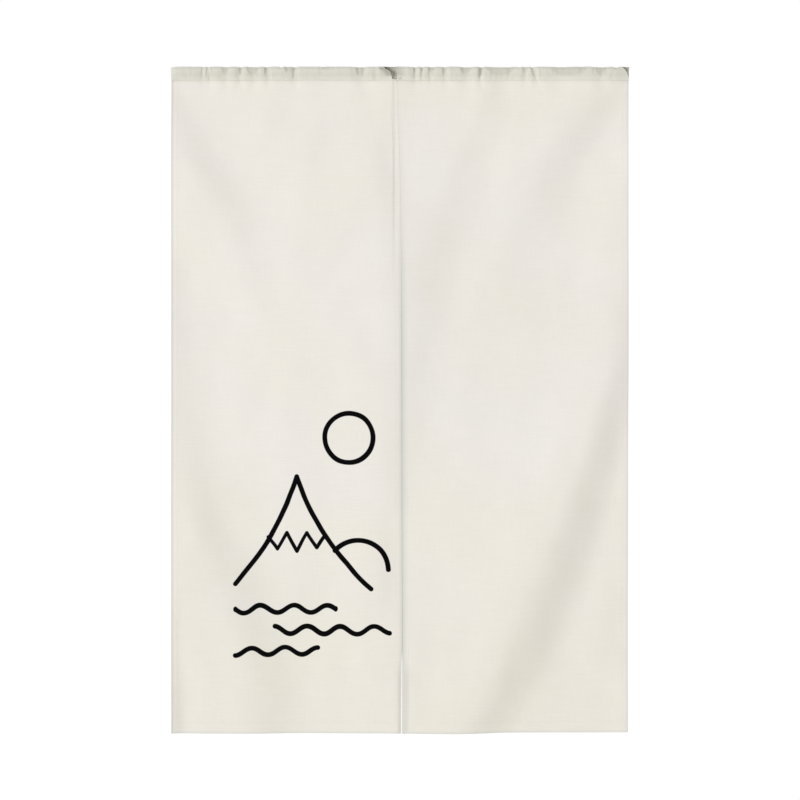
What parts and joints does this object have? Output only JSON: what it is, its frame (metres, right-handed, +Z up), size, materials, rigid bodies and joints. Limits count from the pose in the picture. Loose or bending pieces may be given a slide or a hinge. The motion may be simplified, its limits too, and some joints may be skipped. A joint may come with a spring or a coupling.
{
  "type": "noren curtain",
  "caption": "split door curtain of plain cream canvas: two hanging panels, each with an open gathered rod pocket at its head, and a slit between them down to the hem",
  "frame": {"origin": "middle of the top edge, where a rod through the pockets holds the curtain up", "axes": "+X across to the right as seen from the front, +Y from the front to the back, +Z up; the front of the cloth faces -Y"},
  "size_m": [0.823, 0.0319, 1.2],
  "materials": {
    "canvas": "matte plain-weave cotton and linen canvas, cream",
    "heading_canvas": "the same canvas doubled and gathered, so it looks greyer"
  },
  "bodies": {
    "root": {"panel_left": "canvas", "panel_right": "canvas", "rod_pocket_left": "heading_canvas", "rod_pocket_right": "heading_canvas"}
  },
  "joints": []
}
